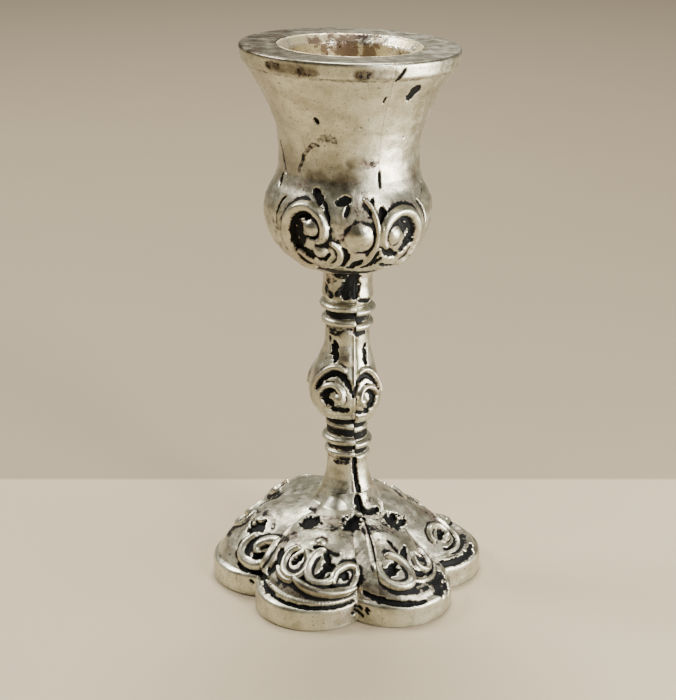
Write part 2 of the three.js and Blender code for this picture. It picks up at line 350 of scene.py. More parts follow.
def silver_material(name):
    """Worn silver plate: a soft gloss on the high places, and black ragged oxide in the low ones."""
    n = Nodes(name)
    n.shader.inputs["Specular IOR Level"].default_value = 0.12
    ragged = n.times(n.math("SUBTRACT", n.noise(0.8 * MM, 6, 0.72), 0.5), 1.5)
    # The tarnish attribute is mostly oxide, with painted shade under the bowl and at the top of the neck,
    # and painted reflections on the lip band.
    tarnish_and_painted_shade = n.math("ADD", n.attribute("tarnish_and_painted_shade"), ragged)
    black = n.ramp(tarnish_and_painted_shade, 0.42, 0.62)
    grime_and_shade = n.ramp(tarnish_and_painted_shade, 0.12, 0.5)
    freckles = n.ramp(n.noise(0.42 * MM, 2, 0.5), 0.63, 0.72)
    freckles = n.times(freckles, n.ramp(n.noise(5 * MM, 3), 0.32, 0.54))
    pink = n.ramp(n.noise(7 * MM, 3, 0.5), 0.52, 0.72)
    cloud = n.ramp(n.noise(3.2 * MM, 5, 0.6), 0.35, 0.7)
    colour = n.mix(cloud, (0.65, 0.64, 0.51), (0.43, 0.42, 0.31))
    colour = n.mix(n.times(pink, 0.32), colour, (0.50, 0.38, 0.31))
    # grime and its dirt tone also carry that painted shade and those painted reflections.
    dirt_and_shade = n.mix(n.ramp(n.noise(4 * MM, 3), 0.45, 0.6), (0.17, 0.155, 0.115), (0.22, 0.145, 0.12))
    colour = n.mix(n.times(grime_and_shade, 0.8), colour, dirt_and_shade)
    patchy = n.ramp(n.noise(2.4 * MM, 4, 0.6), 0.3, 0.65, 0.6, 1.0)
    brown = n.times(n.attribute("film"), patchy)
    colour = n.mix(brown, colour, (0.08, 0.058, 0.036))
    stipple = n.ramp(n.noise(0.22 * MM, 3, 0.6), 0.5, 0.72)
    colour = n.mix(n.times(stipple, 0.62), colour, (0.22, 0.195, 0.14))
    colour = n.mix(n.times(freckles, 0.9), colour, (0.05, 0.045, 0.04))
    colour = n.mix(black, colour, (0.003, 0.0035, 0.0035))
    worn = n.ramp(n.noise(2.2 * MM, 5, 0.65), 0.3, 0.75, 0.27, 0.48)
    rough = n.between(n.ramp(tarnish_and_painted_shade, 0.2, 0.6), worn, 0.55)
    grain = n.noise(0.35 * MM, 4, 0.6)
    dents = n.noise(1.8 * MM, 3, 0.5)
    height = n.math("ADD", n.times(grain, 0.45), dents)
    return n.finish(
        Base_Color=colour,
        Metallic=n.between(black, 1.0, 0.0),
        Roughness=rough,
        Normal=n.bump(height, 0.06 * MM),
    )


def liner_material():
    """Thin spun silver sheet, bright, with a brown and yellow film of old wax."""
    n = Nodes("spun_silver_with_wax")
    split = n.tree.nodes.new("ShaderNodeSeparateXYZ")
    n.tree.links.new(n.place, split.inputs[0])
    spread = n.ramp(split.outputs["Z"], 84 * MM, 101 * MM, -1 * MM, 5.5 * MM)
    beside = n.math("SUBTRACT", n.math("ABSOLUTE", split.outputs["X"], 0.0), spread)
    middle = n.ramp(beside, -1 * MM, 2 * MM, 0.17, 0.0)
    wax = n.ramp(n.noise(6 * MM, 5, 0.65), 0.36, 0.5)
    soot = n.ramp(n.math("ADD", n.noise(3.2 * MM, 6, 0.7), middle), 0.57, 0.65)
    specks = n.ramp(n.noise(0.6 * MM, 3, 0.6), 0.66, 0.72)
    lines = n.noise(0.5 * MM, 3, 0.6, stretch=(0.15, 0.15, 3))
    colour = n.mix(wax, (0.80, 0.77, 0.66), (0.76, 0.67, 0.42))
    colour = n.mix(n.times(soot, 0.85), colour, (0.13, 0.075, 0.055))
    colour = n.mix(specks, colour, (0.02, 0.015, 0.01))
    rough = n.between(wax, n.ramp(lines, 0.3, 0.7, 0.16, 0.34), 0.42)
    height = n.math("ADD", n.times(wax, 0.6), n.times(lines, 0.2))
    return n.finish(Base_Color=colour, Metallic=n.between(wax, 1.0, 0.75), Roughness=rough,
                    Normal=n.bump(height, 0.15 * MM))


def zinc_material():
    """Zinc-plated steel: grey with a faint blue-yellow bloom, grease and a little rust."""
    n = Nodes("zinc_plated_steel")
    bloom = n.noise(3 * MM, 3, 0.5)
    rust = n.ramp(n.noise(1.1 * MM, 6, 0.7), 0.62, 0.74)
    scratch = n.noise(0.25 * MM, 3, 0.6, stretch=(1, 1, 0.2))
    colour = n.mix(bloom, (0.44, 0.47, 0.50), (0.55, 0.52, 0.42))
    colour = n.mix(n.times(rust, 0.8), colour, (0.16, 0.075, 0.03))
    rough = n.between(rust, n.ramp(scratch, 0.3, 0.7, 0.28, 0.5), 0.8)
    return n.finish(Base_Color=colour, Metallic=n.between(rust, 1.0, 0.2), Roughness=rough,
                    Normal=n.bump(scratch, 0.03 * MM))


def felt_material():
    """Wool felt: tangled fibres, lint and pressed, paler places."""
    n = Nodes("green_wool_felt")
    fibres = n.noise(0.16 * MM, 6, 0.75, stretch=(1, 2.6, 1))
    cross = n.noise(0.16 * MM, 6, 0.75, stretch=(2.6, 1, 1))
    tangle = n.times(n.math("ADD", fibres, cross), 0.5)
    pressed = n.noise(6 * MM, 4)
    lint = n.ramp(n.noise(0.5 * MM, 4, 0.7, stretch=(1, 5, 1)), 0.7, 0.76)
    colour = n.mix(tangle, (0.008, 0.026, 0.015), (0.03, 0.085, 0.05))
    colour = n.mix(n.ramp(pressed, 0.4, 0.75, 0.0, 0.5), colour, (0.045, 0.095, 0.06))
    colour = n.mix(n.times(lint, 0.6), colour, (0.35, 0.36, 0.30))
    n.shader.inputs["Sheen Weight"].default_value = 0.35
    n.shader.inputs["Sheen Roughness"].default_value = 0.5
    return n.finish(Base_Color=colour, Roughness=n.ramp(tangle, 0.3, 0.7, 0.85, 1.0),
                    Normal=n.bump(tangle, 0.12 * MM))


# ---- Relief ----
# A stroke is a kind, a half-width, a height or depth, a darkness and the points it runs through.
# A point is (angle, v): v is the length up the foot's surface, or the height on the stem and cup.
# Each casting's scrolls are drawn as if it were a plain cylinder of its own radius below.
FOOT_ROUND, CUP_ROUND, KNOP_ROUND = 20.0, 14.5, 6.6
RIDGE_SPREAD = 1.2  # a ridge's soft skirt reaches this many times its half-width
CREVICE_DARK, CREST_WEAR = 4.4, 3.0  # oxide gained per millimetre of hollow, and lost per one of crest
INSIDE_GRIME = 0.35


def ridge(width, height, points):
    return "ridge", width, height, 0.0, points


def cut(width, depth, points):
    return "cut", width, depth, 1.0, points


# A flat dark mark with no relief: mostly oxide and stains, with painted shade and painted reflections at a
# few places on the cup and stem.
def stain_and_painted_shade(width, strength, points):
    return "cut", width, 0.0, strength, points


def film(width, strength, points):
    """A smooth brown mark with no relief: mostly a film on the metal, and painted reflections where it lies
    on the cup's lip band.
    """
    return "film", width, 0.0, strength, points


def curl(surface_radius, centre, size, start, sweep, eye=1.0, tall=1.0, drift=(0.0, 0.0)):
    """A spiral. Its radius goes from size to eye times size, while its centre drifts across and up."""
    points = []
    for t in np.linspace(0, 1, 4 + int(abs(sweep) / 30)):
        turn = math.radians(start + sweep * t)
        reach = size * (1 + (eye - 1) * t)
        across = reach * math.cos(turn) + drift[0] * t
        up = tall * reach * math.sin(turn) + drift[1] * t
        points.append((centre[0] + math.degrees(across / surface_radius), centre[1] + up))
    return points


def swag(start, end, sag):
    """A curve that hangs by sag between its two ends."""
    (a1, v1), (a2, v2) = start, end
    share = np.linspace(0, 1, 7)
    return [(a1 + (a2 - a1) * t, v1 + (v2 - v1) * t - 4 * sag * t * (1 - t)) for t in share]


def dash(angle, v, wide=1.0, rise=0.0):
    """A short straight mark, wide degrees across, that climbs by rise."""
    return [(angle - wide / 2, v - rise / 2), (angle + wide / 2, v + rise / 2)]


def foot_relief():
    """The scrolls, pits and grooves of three neighbouring lobes."""
    def ring(centre, size, start, sweep, **more):
        return curl(FOOT_ROUND, centre, size, start, sweep, **more)

    big, small, double, bud = (-58.5, 10.3), (-28.5, 12.6), (-13, 12.4), (-1.5, 9.6)
    right, open_ring, far = (25, 11.4), (46.5, 13.6), (82, 14)
    return [
        # the big scroll left of the front, and the hollow over it
        ridge(1.05, 0.85, ring(big, 4.0, 150, 410, eye=0.3, tall=1.15)),
        cut(1.1, 0.9, ring(big, 2.0, 250, 150)),
        cut(1.7, 0.9, dash(-73, 14.2, 3, 1.4)),
        stain_and_painted_shade(0.9, 0.5, swag((-80, 16.6), (-64, 15.6), -1.0)),
        cut(0.8, 0.6, swag((-66, 6), (-43, 7), 0.9)),
        cut(1.1, 0.6, ring((-50, 11), 3.4, -50, 90)),
        stain_and_painted_shade(1.8, 0.55, dash(-45, 16, 5, 2)),
        # the small ring beside it
        ridge(0.75, 0.75, ring(small, 2.5, 60, -310, tall=1.15)),
        cut(0.85, 0.8, dash(small[0], small[1] + 0.6, 2.6, 1.6)),
        # the double scroll: an open ring that runs on into a bud
        ridge(0.85, 0.8, ring(double, 2.9, 105, 215, tall=1.15)),
        cut(1.1, 0.9, dash(double[0] + 2.4, double[1] + 0.1, 3, -0.6)),
        ridge(0.75, 0.8, ring(bud, 2.1, 195, -265, eye=1.15)),
        cut(0.9, 0.7, dash(bud[0], bud[1] + 0.3, 1.2)),
        cut(0.75, 0.7, ring((-20.5, 13), 3.2, 95, -190)),
        ridge(0.8, 0.6, dash(-18.5, 17.6, 2)),
        cut(0.5, 0.4, swag((-18, 16.6), (-6, 14.6), 0.2)),
        # the leaf that sweeps under them to the notch
        ridge(1.0, 0.95, swag((-25, 9.4), (3, 7), 0.9)),
        ridge(0.6, 0.5, swag((-38, 10.4), (-25, 9.3), 0.8)),
        cut(0.55, 0.7, swag((-22, 10), (-7, 8.6), 0.3)),
        ridge(0.5, 0.32, swag((-41, 6.9), (3.5, 5.3), 0.5)),
        film(2.0, 0.75, swag((-41, 8.5), (-3.5, 7), 0.3)),
        cut(1.2, 0.7, swag((-45, 6.8), (-35, 5.9), 0.3)),
        cut(0.5, 0.5, swag((-34, 5.3), (3, 4.4), 0.3)),
        # the ring right of the front
        ridge(0.85, 0.75, ring(right, 2.9, 95, -300, tall=1.1)),
        cut(1.45, 0.9, dash(right[0] - 1, right[1] + 0.4, 2.5, 0.9)),
        cut(0.45, 0.6, dash(30, 16.6, 2, -2.4)),
        cut(0.9, 0.7, ring((42, 13.6), 2.9, 120, 150)),
        # the open ring beside it
        ridge(0.55, 0.75, ring(open_ring, 2.2, 150, 240, tall=1.1)),
        cut(0.85, 0.7, dash(open_ring[0], open_ring[1] + 0.2, 4, -1.4)),
        ridge(0.5, 0.5, swag((32, 9.4), (56, 10.6), 0.7)),
        cut(0.7, 0.6, swag((8, 6.2), (34, 4.4), 0.4)),
        stain_and_painted_shade(0.8, 0.7, swag((20, 7.4), (38, 7), 0.3)),
        film(1.6, 0.6, swag((8, 7.6), (36, 6.4), 0.3)),
        cut(2.5, 0.7, dash(46.5, 7, 5, 3.6)),
        stain_and_painted_shade(1.0, 0.6, dash(59, 14, 4, -4)),
        # the scroll at the right
        ridge(0.6, 0.8, ring(far, 2.9, 190, -300, eye=0.5, tall=0.9)),
        cut(1.0, 0.8, dash(far[0] + 1, far[1] + 0.2, 6, 1)),
        ridge(0.5, 0.6, ring(far, 4.6, 250, 130, tall=0.9)),
        cut(0.55, 0.6, ring(far, 3.8, 235, 130, tall=0.9)),
        cut(0.9, 0.5, swag((63, 5.8), (88, 6), 0.6)),
        stain_and_painted_shade(1.0, 0.55, swag((70, 8), (96, 8.8), 0.2)),
        stain_and_painted_shade(1.6, 0.5, dash(96, 17, 8)),
    ]


def foot_front():
    """Only at the front: the pits, the petal, the spoon-shaped hollow under the stem, and the flaws."""
    pits = [cut(2.5, 0.9, dash(-40, 21.8, 2)),
            cut(2.1, 0.9, dash(5, 21.8, 6, 3)),
            cut(3.1, 0.9, dash(56, 21.4, 2)),
            stain_and_painted_shade(1.6, 0.42, swag((-34, 21.4), (-8, 21.4), -0.6)),
            stain_and_painted_shade(1.6, 0.45, swag((14, 20.6), (44, 20.6), -0.6))]
    petal = [ridge(2.2, 0.45, dash(-29, 26.9, 20)),
             ridge(2.8, 0.4, dash(0, 17.4, 7)),
             stain_and_painted_shade(0.9, 0.4, swag((-60, 25), (-10, 25), 0))]
    spoon = [cut(0.95, 0.8, curl(7.5, (42, 28.8), 2.9, 165, 130)),
             stain_and_painted_shade(1.1, 0.5, dash(46, 28, 22)),
             ridge(0.42, 0.3, curl(7.5, (42, 28.6), 4.4, 200, 140))]
    specks = curl(FOOT_RADIUS, (6, 2.2), 2.0, 40, 620, eye=0.35, tall=0.55)[::3]
    flaws = [cut(0.36, 0.25, dash(angle, v, 1.3, -0.5)) for angle, v in specks + [(-57, 2.9), (53, 2.8)]]
    return pits + petal + spoon + flaws


def cup_relief():
    """The two volutes and the teardrop between them."""
    def ring(centre, size, start, sweep, **more):
        return curl(CUP_ROUND, centre, size, start, sweep, **more)

    left, left_eye = (-36, 70.6), (-25, 72.2)
    right, right_eye = (42, 70.6), (30.5, 71.2)
    drop = (8, 70.7)
    return [
        # the volute left of the front, and the leaf that its tail ends in
        ridge(0.95, 0.8, ring(left, 5.1, -75, -345, eye=0.4, tall=1.25, drift=(2.9, 1.6))),
        ridge(1.5, 0.8, dash(*left_eye, 1)),
        cut(1.65, 0.85, ring((-32, 71), 2.8, 70, 180, tall=1.3)),
        cut(1.5, 0.8, dash(-36, 71, 1, -3.6)),
        cut(1.4, 0.75, swag((-34, 67.4), (-17, 67.2), 0.4)),
        cut(0.55, 0.6, swag((-27.5, 70.6), (-13.5, 72), 0.6)),
        ridge(1.15, 0.75, dash(-20, 67.9, 2)),
        cut(0.8, 0.6, ring((-9, 67), 1.9, 60, -150)),
        ridge(0.55, 0.55, ring((-15, 67.4), 2.4, 70, -160)),
        # oxide in the notch over it
        cut(0.85, 0.45, swag((-26, 78.4), (-20.5, 76.5), -0.2)),
        cut(0.4, 0.4, swag((-18, 76.8), (-13, 73), -0.5)),
        cut(0.35, 0.4, ring((-35, 72), 6.2, 135, 50)),
        # the teardrop in the middle
        ridge(2.3, 0.95, dash(*drop, 0.6, -1)),
        cut(0.5, 0.5, ring(drop, 2.5, -95, 120)),
        cut(1.15, 0.35, dash(-4, 77, 5, 0.5)),
        cut(0.55, 0.3, dash(-1.5, 75.4, 1.4, 1.4)),
        # the stem of the leaf beside it
        ridge(0.5, 0.55, ring((8.5, 71.4), 2.9, 75, -145, tall=2.1)),
        cut(0.42, 0.5, dash(16, 76.2, 2.2, 2.4)),
        cut(0.7, 0.6, swag((22, 68), (13.5, 64.6), 0.2)),
        # the volute right of the front
        ridge(0.95, 0.8, ring(right, 5.0, -75, 300, eye=0.45, tall=1.2, drift=(-2.4, 0.6))),
        ridge(1.6, 0.75, dash(*right_eye, 2, -0.8)),
        cut(1.75, 0.85, ring((38.5, 71.2), 2.5, 110, -180, tall=1.25)),
        cut(1.5, 0.8, dash(39.5, 72.4, 5, -1)),
        cut(0.9, 0.7, swag((24, 69), (38, 66.8), 0.4)),
        cut(0.8, 0.6, swag((23, 75.8), (23, 71), 0)),
        cut(0.7, 0.6, swag((27, 65.2), (43, 64), 0.2)),
        cut(0.4, 0.45, ring((44, 71), 6.0, 55, -45)),
    ]


def cup_front():
    """Only at the front: oxide round the bowl, with painted shade on its underside, painted reflections on
    the lip band, and the flaws of the casting.
    """
    # The two stains under the bowl, at 63.1 and 63.7, are oxide with painted shade; the three on the lip
    # band, at 99.3 to 99.8, are painted reflections of dark shadows.
    stains_and_painted_light = [stain_and_painted_shade(width, strength, swag((low, v), (high, v + climb), sag))
            for low, high, v, climb, sag, width, strength in (
                (-18, 26, 63.1, 0, 0, 1.5, 0.95), (-40, -12, 63.7, 0, 0, 0.7, 0.7),
                (-44, -24, 81, 5, -1.6, 0.55, 0.5), (-24, -11, 87, 0, -0.6, 0.8, 0.42),
                (10, 21, 83.4, 0, 0.4, 0.8, 0.42), (-46, -20, 78.8, 0, 0, 1.2, 0.3),
                (3, 15, 76.4, -1, 0, 1.4, 0.42), (-46, -39, 99.8, 0, 0, 0.9, 0.46),
                (-27, -21, 99.3, 0, 0, 0.9, 0.46), (4, 10, 99.4, 0, 0, 1.0, 0.46))]
    stains_and_painted_light += [cut(1.0, 0.5, swag((1, 64.6), (9, 66), 0.2)),
             cut(0.8, 0.5, swag((12, 64.4), (25, 66.4), 0.2))]
    # The four films on the lip band, at 99.4 to 99.6, are painted reflections of dark shadows; the four
    # lower down are brown film on the bowl.
    stains_and_painted_light += [film(width, strength, dash(angle, v, wide)) for angle, v, wide, width, strength in (
        (-33, 99.6, 26, 1.3, 0.85), (-22, 99.5, 8, 1.2, 1.0), (6, 99.4, 5, 1.3, 1.0),
        (14, 99.5, 18, 1.3, 0.8), (-26, 80.4, 12, 1.6, 0.6), (-4, 80, 14, 1.7, 0.7),
        (8, 83.4, 16, 1.4, 0.6), (0, 74, 10, 2.4, 0.5))]
    flaws = [cut(width, 0.3, dash(angle, v, wide, rise)) for angle, v, wide, rise, width in (
        (25.5, 99.2, 4, 2, 0.35), (38, 95.7, 3.4, 2, 1.1), (20, 94.7, 0.5, 1, 0.22),
        (-23.5, 90.5, 1.6, -0.6, 0.5), (7.5, 89.7, 0.4, 0, 0.16), (-43, 96.6, 0.6, 0, 0.18),
        (44, 87.4, 0.6, 0, 0.2), (-66, 82.5, 12, -5, 0.28), (-65, 78.6, 0.5, -2, 0.5),
        (24, 80.4, 0.6, -2.6, 0.35), (72, 77.4, 8, 1.4, 0.3))]
    return stains_and_painted_light + flaws


def knop_relief():
    """A volute left of the seam and its smaller mirror image at the right, which sits lower."""
    def ring(centre, size, start, sweep, **more):
        return curl(KNOP_ROUND, centre, size, start, sweep, **more)

    left = (-20, 38.4)
    strokes = [
        ridge(0.6, 0.55, ring(left, 4.4, 175, -110, tall=1.2)),
        cut(0.75, 0.65, ring(left, 3.6, 165, -150, tall=1.15)),
        ridge(0.6, 0.65, ring(left, 2.6, 170, -230, eye=0.6, tall=0.95)),
        ridge(1.05, 0.65, dash(left[0] + 12, left[1] - 0.4, 3)),
        cut(1.25, 0.75, ring(left, 1.5, 80, 200, tall=1.25)),
        cut(0.95, 0.65, swag((-22, 35.6), (5, 35.9), 0.2)),
        cut(0.9, 0.6, dash(-31, 46.4, 9, -3)),
    ]
    seam, narrower = SEAMS["stem"][0], 0.85
    for kind, width, height, dark, points in list(strokes):
        mirror = [(seam - narrower * (a - seam), v - MOULD_SHIFT) for a, v in points]
        strokes.append((kind, width * narrower, height, dark, mirror))
    return strokes + [ridge(1.7, 0.3, dash(1, 47.2, 6, -4.4))]


def stem_front():
    """Only at the front: oxide on the neck and waist, oxide with painted shade at the top of the neck under
    the bowl, and the groove at the seam's foot.
    """
    return [
        cut(1.5, 0.45, swag((10, 61), (-8, 57.4), 0.4)),
        cut(1.2, 0.4, swag((16, 61.2), (16, 57), 0)),
        # oxide with painted shade: the band at the top of the neck, under the bowl's overhang
        stain_and_painted_shade(1.0, 0.9, swag((-26, 61), (20, 61), 0)),
        stain_and_painted_shade(0.8, 0.75, swag((-6, 60), (-26, 57.2), 0.4)),
        stain_and_painted_shade(0.8, 0.55, swag((-62, 58.6), (-36, 57), 0.4)),
        stain_and_painted_shade(1.3, 0.42, dash(-42, 60, 16, 1)),
        cut(0.6, 0.4, swag((26, 56.2), (68, 55.4), 0)),
        stain_and_painted_shade(0.8, 0.6, swag((-50, 49.8), (46, 49.6), 0.2)),
        stain_and_painted_shade(0.6, 0.6, swag((-50, 48.8), (-36, 46), 0.2)),
        cut(0.6, 0.6, swag((19, 25), (28, 17.9), 0.2)),
        stain_and_painted_shade(0.5, 0.5, swag((-40, 24), (2, 24), 0.1)),
    ]


def turned_by(strokes, degrees):
    return [(*stroke, [(a + degrees, v) for a, v in marks]) for *stroke, marks in strokes]


def front_and_back(strokes):
    return strokes + turned_by(strokes, 180)


def swept_relief(surface, points, strokes):
    """The height, and the darkness and brown from 0 to 1, that the strokes give at each point: mostly oxide
    and film, with painted shade and painted reflections from a few strokes on the cup and stem.
    """
    low, dark, high, brown = (np.zeros(points.shape[:2]) for _ in range(4))
    ragged = 0.28 * value_noise(points, 0.8, 5) + 0.18 * value_noise(points, 0.35, 6)
    for kind, width, height, darkness, marks in strokes:
        path = smooth_path(marks, 0.2)
        line = surface(path[:, 0], path[:, 1])
        share = np.linspace(-1, 1, len(line))
        reach = width * (1 - 0.35 * np.abs(share) ** 4)
        most = 1.4 * reach.max()
        near = (points > line.min(0) - most).all(axis=-1) & (points < line.max(0) + most).all(axis=-1)
        if not near.any():
            continue
        reach = reach * (RIDGE_SPREAD if kind == "ridge" else 1.0)
        away = np.linalg.norm(points[near][:, None] - line[None], axis=-1) / reach
        away = away.min(axis=1)
        if kind == "ridge":
            high[near] = np.maximum(high[near], height * (1 - np.clip(away, 0, 1) ** 2) ** 1.25)
        elif kind == "film":
            outside = smoothstep(0.4, 1.2, away + 0.4 * ragged[near])
            brown[near] = np.maximum(brown[near], darkness * (1 - outside))
        else:
            away = away + ragged[near]
            low[near] = np.maximum(low[near], height * (1 - smoothstep(0.5, 1.05, away)))
            dark[near] = np.maximum(dark[near], darkness * (1 - smoothstep(0.55, 1.15, away)))
    cover = np.clip(high / 0.3, 0, 1)
    return high - low * (1 - cover), dark * (1 - cover), brown


# ---- The castings ----
def bead(z, radius, height, root):
    """One round moulding of the stem, as a half-round bead."""
    turn = np.radians(np.linspace(-80, 80, 7))
    crown = [(root + (radius - root) * math.cos(t), z + height / 2 * math.sin(t)) for t in turn]
    return [(root, z - height / 2), *crown, (root, z + height / 2)]


def foot_outside():
    return [
        (FOOT_RADIUS, METAL_BOTTOM), (FOOT_RADIUS, 3.8), (FOOT_RADIUS - 0.35, 4.4), (24.9, 4.6), (24.5, 5.3),
        (23.3, 7.2), (21.2, 9.3), (18.6, 11.2), (15.8, 12.7), (13.2, 13.7), (10.5, 14.3), (8.2, 14.7),
        (6.5, 15.2), (5.9, 16.1), (5.4, 17.1), (5.0, STEM_BOTTOM - 0.1),
    ]


def foot_inside():
    recess = SPIGOT_RADIUS + SPIGOT_CLEARANCE
    floor = STEM_BOTTOM - SPIGOT_LENGTH - SPIGOT_CLEARANCE
    rebate = FOOT_RADIUS - REBATE
    seat = 11.2
    return [
        (recess, STEM_BOTTOM - 0.1), (recess, floor), (BORE_RADIUS, floor), (BORE_RADIUS, seat), (7.8, seat),
        (11.6, 10.7), (15.0, 9.4), (18.4, 6.8), (20.4, 4.2), (21.4, METAL_BOTTOM + 1.1),
        (rebate, METAL_BOTTOM + 1.1), (rebate, METAL_BOTTOM),
    ]


def place_foot(r, degrees, z, outside, side):
    """Draws the round foot in to its lobes and flattens the right half's slope."""
    share = smoothstep(5.8, 11, r)
    turn = LOBES * np.radians(degrees - CUSP)
    collar = plateau(r, 4.4, 5.2, 5.8, 8) * smoothstep(13, 15, z)
    slope = plateau(r, 6.5, 20.5, 21.5, 25) * smoothstep(3.9, 5, z)
    away = smoothstep(0, 0.8, np.sin(np.radians(degrees - SEAMS["foot"][0])))
    return (r * (1 + share * (outline_radius(degrees) / FOOT_RADIUS - 1)) - 0.25 * collar * np.cos(turn),
            z - FOOT_SLUMP * slope * away)


def stem_outside(side):
    shift = MOULD_SHIFT if side == RIGHT else 0.0
    mouldings = (
        bead(25.7, 4.3, 1.2, 3.75) + bead(28.3, 4.75, 1.6, 3.8) + bead(31.3, 4.0, 0.6, 3.8)
        + [(3.85, 32.9), (5.1, 33.25), (5.45, 33.8), (5.5, 34.3), (6.3, 35.3), (6.8, 36.9), (6.85, 38.1),
           (6.6, 39.8), (6.1, 41.7), (5.3, 43.7), (4.6, 45.7), (4.2, 47.4), (4.1, 49.4)]
        + bead(51.7, 4.85, 1.5, 4.0) + bead(54.6, 5.2, 1.5, 4.0)
    )
    return (
        [(5.0, STEM_BOTTOM), (4.6, 19.1), (4.15, 20.5), (3.85, 22.4), (3.78, 23.6)]
        + [(r, z - shift) for r, z in mouldings]
        + [(4.75, 56.4), (4.5, 58.4), (4.5, 60.2), (4.8, STEM_TOP)]
    )


def stem_inside():
    top, bottom = STEM_TOP + SPIGOT_LENGTH, STEM_BOTTOM - SPIGOT_LENGTH
    return [(SPIGOT_RADIUS, STEM_TOP), (SPIGOT_RADIUS, top), (BORE_RADIUS, top), (BORE_RADIUS, bottom),
            (SPIGOT_RADIUS, bottom), (SPIGOT_RADIUS, STEM_BOTTOM)]


def place_stem(r, degrees, z, outside, side):
    """Swells the baluster over its six scroll bosses."""
    swell = plateau(z, 33, 36.5, 38.5, 44.5) * outside
    return r + 0.2 * swell * np.cos(LOBES * np.radians(degrees - CUSP)), z


def liner_outside(z):
    share = (z - SOCKET_FLOOR) / (HEIGHT - SOCKET_FLOOR)
    return SOCKET_FLOOR_RADIUS + share * (SOCKET_MOUTH_RADIUS - SOCKET_FLOOR_RADIUS) + LINER_WALL


def cup_outside():
    return [
        (5.2, STEM_TOP + 0.1), (8.0, 62.4), (10.3, 63.6), (12.0, 65.0), (13.2, 66.7), (14.2, 69.0),
        (14.7, 71.2), (14.8, 73.0), (14.5, 74.8), (13.9, 76.4), (13.1, 78.0), (12.55, 80.0), (12.4, 83.0),
        (12.65, 85.6), (13.2, 88.2), (14.3, 91.0), (15.7, 93.8), (17.2, 96.3), (18.1, 97.8), (18.3, 98.3),
        (18.9, 98.6), (19.05, 99.6), (19.3, 100.9), (19.15, HEIGHT),
        (liner_outside(HEIGHT) + LINER_FIT + LINER_FUNNEL, HEIGHT),
    ]


def cup_inside():
    recess, top = SPIGOT_RADIUS + SPIGOT_CLEARANCE, STEM_TOP + SPIGOT_LENGTH + SPIGOT_CLEARANCE
    seat, pocket = SOCKET_FLOOR - 0.9, 4.4
    nut_seat = bottom_of("cup_nut") - 0.1
    return [
        (liner_outside(FUNNEL_START) + LINER_FIT, FUNNEL_START), (liner_outside(seat) + LINER_FIT, seat),
        (pocket, seat), (pocket, nut_seat), (BORE_RADIUS, nut_seat), (BORE_RADIUS, top), (recess, top),
        (recess, STEM_TOP + 0.1),
    ]


def place_cup(r, degrees, z, outside, side):
    """Swells the bowl over its six scroll bosses."""
    swell = plateau(z, 63, 69, 74, 78) * outside
    return r - 0.3 * swell * np.cos(LOBES * np.radians(degrees - CUSP)), z


